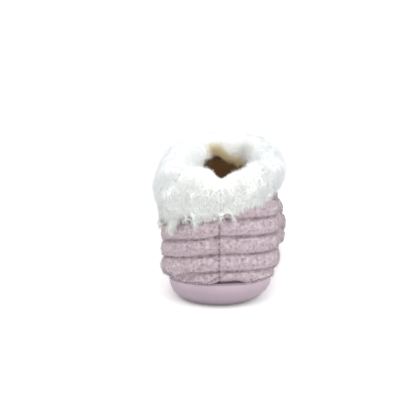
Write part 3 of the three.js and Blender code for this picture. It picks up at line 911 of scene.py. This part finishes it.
def makePile(setup, upper, marks):
    chance = np.random.default_rng(21)
    mesh = upper.data
    free = freeShare(furTree, pointsOf(mesh), normalsOf(mesh), setup["clear"]) > setup["clearShare"]
    wanted = (marks["outer"] > 0.5) & free
    roots, normals, nearest = scatter(mesh, setup["hairs"], 22, wanted)
    marks = {name: values[nearest] for name, values in marks.items()}
    seam = bell(roots[:, 0], upperSetup["seamAt"], setup["seamWidth"]) * marks["rear"]
    tips, way, nub = growPile(setup, roots, normals, marks, seam, chance)
    roots = roots - normals * setup["sunk"]
    tones = pileTones(setup, roots, tips, nub, marks, seam, chance)
    facing = unit(normals + way * setup["turned"])
    material = pileMaterial(pileLook)
    for number, part in enumerate(np.array_split(np.arange(len(roots)), setup["pieces"]), 1):
        widths = np.full(len(part), setup["width"])
        lines = [roots[part], tips[part]]
        given = {name: values[part] for name, values in tones.items()}
        hairPiece(f"plush_pile_{number}", lines, widths, facing[part], given, material)
    print("plush pile:", len(roots), "hairs")


# painted shade: darker low on the outside, warm shade inside the front of the mouth, deep shade down
# in the mouth; the glow strengths are a painted glow
furLook = {
    "root": (0.95, 0.96, 0.965, 1),
    "cream": (0.97, 0.98, 0.93, 1),
    "cool": (0.925, 0.955, 0.99, 1),
    "ground": (0.9, 0.92, 0.88, 1),
    "low": (0.82, 0.835, 0.81, 1),
    "warmShade": (0.86, 0.76, 0.5, 1),
    "mouthShade": (0.14, 0.09, 0.05, 1),
    "glow": 0.19,
    "groundGlow": 0.2,
}


# tones of painted shade: the low zone, the warm zone inside the front and the deep mouth; and a
# painted glow, a weak light the white fur gives off in place of light scattered through it
def furTones(tree, shader, look, colour):
    for name in ("low", "warmShade", "mouthShade"):
        colour = mixColour(tree, readMark(tree, name), colour, look[name])
    tree.links.new(colour, shader.inputs["Base Color"])
    lit = mixColour(tree, readMark(tree, "glow"), (0, 0, 0, 1), colour)
    tree.links.new(lit, shader.inputs["Emission Color"])


def furMaterial(look):
    material, shader = newMaterial("softFur")
    tree = material.node_tree
    tip = mixColour(tree, readMark(tree, "tint"), look["cream"], look["cool"])
    furTones(tree, shader, look, mixColour(tree, readMark(tree, "along"), look["root"], tip))
    # strength of the painted glow
    shader.inputs["Emission Strength"].default_value = look["glow"]
    shader.inputs["Roughness"].default_value = 1.0
    shader.inputs["Specular IOR Level"].default_value = 0.0
    return material


def groundMaterial(look):
    material, shader = newMaterial("furGround")
    tree = material.node_tree
    mottle = placeGroup(
        tree, "mottle", Dark=look["ground"], Light=look["root"], Scale=160.0, Contrast=2.0
    )
    furTones(tree, shader, look, mottle.outputs["Colour"])
    # strength of the painted glow
    shader.inputs["Emission Strength"].default_value = look["groundGlow"]
    grain = placeGroup(tree, "grain", Scale=700.0, Stretch=(1, 1, 0.3), Strength=0.7, Depth=0.001)
    tree.links.new(grain.outputs["Normal"], shader.inputs["Normal"])
    shader.inputs["Roughness"].default_value = 0.95
    shader.inputs["Specular IOR Level"].default_value = 0.05
    return material


mouthSetup = {
    "x": 0.002,
    "back": -0.012,
    "front": 0.045,
    "notchAt": 0.001,
    "notchWidth": 0.017,
    # where the warm painted shade inside the front falls
    "warmShadeFrom": -0.0145,
    "warmShadeFromEase": 0.0025,
    "warmShadeTo": 0.024,
    "warmShadeToEase": 0.012,
    "warmShadeTopLeft": 0.0995,
    "warmShadeTopRight": 0.0915,
    "warmShadeFall": 0.0075,
    "warmShadeRise": 0.001,
    # the top edge of the deep painted shade in the mouth
    "edgeLeft": 0.0885,
    "edgeRight": 0.0795,
    "edgeFall": 0.002,
    "edgeRise": 0.001,
    "edgeDrop": 0.01,  # the lobe beside the mouth stays white lower down
}

# from where to where each zone of the fur fades in, in metres or as a share
zones = {
    "wall": (0.004, 0.009),
    "inner": (0.0, 0.8),
    "hem": (0.003, 0.008),
    "rear": (0.02, 0.032),
    "front": (0.05, 0.057),
    "outerSide": (0.008, 0.034),
    "sideways": (-0.003, 0.009),
    "lowSides": (0.01, 0.03),
    "high": (0.072, 0.1),
    "deep": (0.082, 0.09),
    "notch": (0.083, 0.09),
    "waist": (0.026, 0.036),
    "waistHeights": (0.08, 0.092),
}
# painted shade low on the outside of the fur, reaching lower at the sides
lowSetup = {"bottom": 0.06, "top": 0.094, "sideDrop": 0.008}
# painted glow: least on the outer sides and in the warm shade, most high up and inside
glowSetup = {"least": 0.38, "outerShare": 0.35, "warmShadeLoss": 0.65, "sideLoss": 0.75, "highSpared": 0.5}


# from each point of the fur towards the middle of the mouth, seen from above
def towardsMouth(points):
    middle = np.clip(points[:, 1], mouthSetup["back"], mouthSetup["front"])
    way = np.stack([mouthSetup["x"] - points[:, 0], middle - points[:, 1], np.zeros(len(points))], 1)
    return unit(way)


def between(first, second, share):
    return mouthSetup[first] + (mouthSetup[second] - mouthSetup[first]) * share


# how far each point has the upper near it, and how far it looks into the mouth
def hemAndInner(points, normals):
    found = [upperTree.find_nearest(Vector(point)) for point in points]
    near, wall = (np.array([row[k] for row in found]) for k in (0, 1))
    away = np.array([row[3] for row in found])
    towards = towardsMouth(points)
    byWall = 1 - smoothstep(away, *zones["wall"])
    facing = dot(towards, normals) * (1 - byWall) + dot(towards, wall) * byWall
    inner = smoothstep(facing + dot(towards, unit(points - near)), *zones["inner"])
    return (1 - inner) * (1 - smoothstep(away, *zones["hem"])), inner


# what each part of the fur is: hem, side of the mouth, notch behind, warm painted shade inside the
# front, painted shade low down and deep in the mouth, and the painted glow
def furMarks(points, normals):
    hem, inner = hemAndInner(points, normals)
    mouth = mouthSetup
    x, y, z = points.T
    outside = smoothstep(x, *zones["outerSide"]) * (1 - inner)
    left = smoothstep(x, mouth["warmShadeFrom"], mouth["warmShadeFrom"] + mouth["warmShadeFromEase"])
    right = 1 - smoothstep(x, mouth["warmShadeTo"] - mouth["warmShadeToEase"], mouth["warmShadeTo"])
    front = inner * smoothstep(y, *zones["front"]) * left * right
    sideways = smoothstep(x, *zones["sideways"])
    # warm painted shade inside the front of the mouth
    warmShadeTop = between("warmShadeTopLeft", "warmShadeTopRight", sideways)
    warmShade = front * (1 - smoothstep(z, warmShadeTop - mouth["warmShadeFall"], warmShadeTop + mouth["warmShadeRise"]))
    # deep painted shade in the mouth below this edge
    edge = between("edgeLeft", "edgeRight", sideways) - mouth["edgeDrop"] * (1 - left * inner)
    # painted shade low on the outside
    lowTop = lowSetup["top"] - lowSetup["sideDrop"] * smoothstep(np.abs(x), *zones["lowSides"])
    # painted glow, strongest high up and inside the mouth
    high = smoothstep(z, *zones["high"])
    share = glowSetup["outerShare"] + (1 - glowSetup["outerShare"]) * inner
    glow = glowSetup["least"] + (1 - glowSetup["least"]) * high * share
    glow *= 1 - glowSetup["warmShadeLoss"] * warmShade
    glow *= 1 - glowSetup["sideLoss"] * outside * (1 - glowSetup["highSpared"] * high)
    notch = bell(x, mouth["notchAt"], mouth["notchWidth"]) * smoothstep(z, *zones["notch"])
    waist = smoothstep(x, *zones["waist"]) * (1 - smoothstep(z, *zones["waistHeights"]))
    return {
        "inner": inner,
        "deep": inner * np.maximum(1 - smoothstep(z, *zones["deep"]), front),
        "hem": hem,
        "low": (1 - smoothstep(z, lowSetup["bottom"], lowTop)) * (1 - inner),
        "notch": smoothstep(-y, *zones["rear"]) * notch,
        "warmShade": warmShade,
        "mouthShade": inner * (1 - smoothstep(z, edge - mouth["edgeFall"], edge + mouth["edgeRise"])),
        "glow": glow,
        "waist": waist * (1 - inner),
    }


groundSetup = {
    "voxel": 0.0016,
    "rounds": 8,
    "ease": 0.5,
    "easeRounds": 4,
    "inset": 0.0014,
    "waist": 0.004,  # drawn in on the outer side under its fullest part
    "lobe": 0.0045,  # fuller beside the mouth, on the inner side
    "lobeAt": (-0.017, 0.049, 0.088),
    "lobeSize": 0.013,
    "billow": 0.0008,
    "billowSize": 0.016,
    "clear": 0.004,
}


def makeFurGround(setup):
    ground = pieceFrom(mergedNode("fur_collar"), "fur_ground")
    remeshed(ground, setup["voxel"])
    mesh = ground.data
    edges = edgesOf(mesh)
    points = smoothed(pointsOf(mesh), edges, setup["rounds"])
    points = relaxed(points, edges, setup["ease"], setup["easeRounds"])
    setPoints(mesh, points)
    normals = normalsOf(mesh)
    out = waves(points, setup["billowSize"], seed=31) * setup["billow"] - setup["inset"]
    out -= setup["waist"] * furMarks(points, normals)["waist"]
    fromLobe = np.linalg.norm(points - np.array(setup["lobeAt"]), axis=1)
    out += setup["lobe"] * bell(fromLobe, 0, setup["lobeSize"])
    free = freeShare(upperTree, points, normals, setup["clear"])
    setPoints(mesh, points + normals * (out * free)[:, None])
    marks = furMarks(pointsOf(mesh), normalsOf(mesh))
    # marks of the painted shade and the painted glow
    for name in ("low", "warmShade", "mouthShade", "glow"):
        setMark(mesh, name, marks[name])
    mesh.materials.append(groundMaterial(furLook))
    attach(ground, "root")
    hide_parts("fur_collar")
    print("fur ground:", len(mesh.polygons), "faces")
    return ground


furSetup = {
    "hairs": 82000,
    "pieces": 2,
    "tufts": 1100,
    "clear": 0.002,
    "clearShare": 0.9,
    "length": 0.0062,
    "lengths": (0.7, 1.15),
    "deepShort": 0.6,
    "hemShort": 0.3,
    "notchShort": 0.55,
    "width": 0.0002,
    "widths": (0.75, 1.2),
    "sunk": 0.0004,
    "turned": 0.25,
    "bow": 0.12,
    "sag": 0.1,
    "lowSag": 0.2,
    "gather": 0.06,
    "hemGather": 0.24,
    "gathers": (0.5, 1.3),
    "tint": 0.2,
    "sideTint": 0.7,
    "sides": (0.012, 0.04),
    "tintWave": 0.15,
    "tintWaveSize": 0.05,
    "tintStray": 0.12,
}
waySetup = {
    "up": 0.8,
    "hemUp": -0.35,
    "notchUp": -0.25,
    "down": 0.2,
    "lowDown": 0.3,
    "hemDown": 0.35,
    "innerDown": -0.15,
    "notchAway": 0.9,
    "swirl": 0.2,
    "swirlSize": 0.03,
    "stray": 0.24,
}


# hairs stand up from the ground, hang down at the hem and part at the notch
def furWays(setup, roots, facing, marks, chance):
    hem, notch, inner, low = (marks[name][:, None] for name in ("hem", "notch", "inner", "low"))
    swirl = np.stack([waves(roots, setup["swirlSize"], seed) for seed in (11, 12, 13)], 1)
    up = setup["up"] + setup["hemUp"] * hem + setup["notchUp"] * notch
    down = setup["down"] + setup["lowDown"] * low + setup["hemDown"] * hem
    down += setup["innerDown"] * inner
    way = facing * up + downAlong(facing) * down
    way -= towardsMouth(roots) * notch * setup["notchAway"]
    stray = chance.normal(size=roots.shape) * setup["stray"]
    return unit(way + swirl * setup["swirl"] + stray)


def growFur(setup, roots, facing, marks, chance):
    count = len(roots)
    way = furWays(waySetup, roots, facing, marks, chance)
    length = setup["length"] * chance.uniform(*setup["lengths"], count)
    for name in ("deep", "hem", "notch"):
        length *= 1 - setup[name + "Short"] * marks[name]
    tips = roots + way * length[:, None]
    gather = setup["gather"] + setup["hemGather"] * marks["hem"]
    gather *= chance.uniform(*setup["gathers"], count)
    tips, _ = tufted(roots, tips, setup["tufts"], gather, chance)
    middles = (roots + tips) / 2 + facing * (length * setup["bow"])[:, None]
    tips[:, 2] -= length * (setup["sag"] + setup["lowSag"] * marks["low"])
    return middles, tips, way


# creamy in the middle, cooler to the sides
def furTint(setup, roots, chance):
    tint = setup["tint"] + setup["sideTint"] * smoothstep(np.abs(roots[:, 0]), *setup["sides"])
    tint += setup["tintWave"] * waves(roots, setup["tintWaveSize"], seed=15)
    return np.clip(tint + chance.normal(0, setup["tintStray"], len(roots)), 0, 1)


def makeFur(setup, ground):
    chance = np.random.default_rng(7)
    mesh = ground.data
    free = freeShare(upperTree, pointsOf(mesh), normalsOf(mesh), setup["clear"])
    roots, facing, _ = scatter(mesh, setup["hairs"], 8, free > setup["clearShare"])
    marks = furMarks(roots, facing)
    middles, tips, way = growFur(setup, roots, facing, marks, chance)
    roots = roots - facing * setup["sunk"]
    # marks of the painted shade and the painted glow for the hairs
    given = {name: marks[name] for name in ("low", "warmShade", "mouthShade", "glow")}
    given["tint"] = furTint(setup, roots, chance)
    material = furMaterial(furLook)
    towards = unit(facing + way * setup["turned"])
    widths = setup["width"] * chance.uniform(*setup["widths"], len(roots))
    fringe = marks["hem"] > 0.5
    body = chance.permutation(np.nonzero(~fringe)[0])
    parts = {"fur_fringe": np.nonzero(fringe)[0]}
    for number, part in enumerate(np.array_split(body, setup["pieces"]), 1):
        parts[f"fur_hair_{number}"] = part
    for name, part in parts.items():
        lines = [roots[part], tips[part]]
        if name == "fur_fringe":
            lines.insert(1, middles[part])
        own = {mark: values[part] for mark, values in given.items()}
        hairPiece(name, lines, widths[part], towards[part], own, material)
        print(name, len(part), "hairs")


lightBounces = 24  # white fur is bright by light that goes from hair to hair

bpy.context.scene.view_settings.view_transform = "Standard"
bpy.context.scene.cycles.max_bounces = lightBounces
bpy.context.scene.cycles.diffuse_bounces = lightBounces
addCamera(cameraSetup)
addLights(lightSetup)
addFloor(floorSetup)
makeOutsole(soleLook)
makeInsole(insoleSetup)
upperPiece, upperMarks = makeUpper(upperSetup)
makeHeelSeam(threadSetup, upperPiece)
makePile(pileSetup, upperPiece, upperMarks)
makeFur(furSetup, makeFurGround(groundSetup))
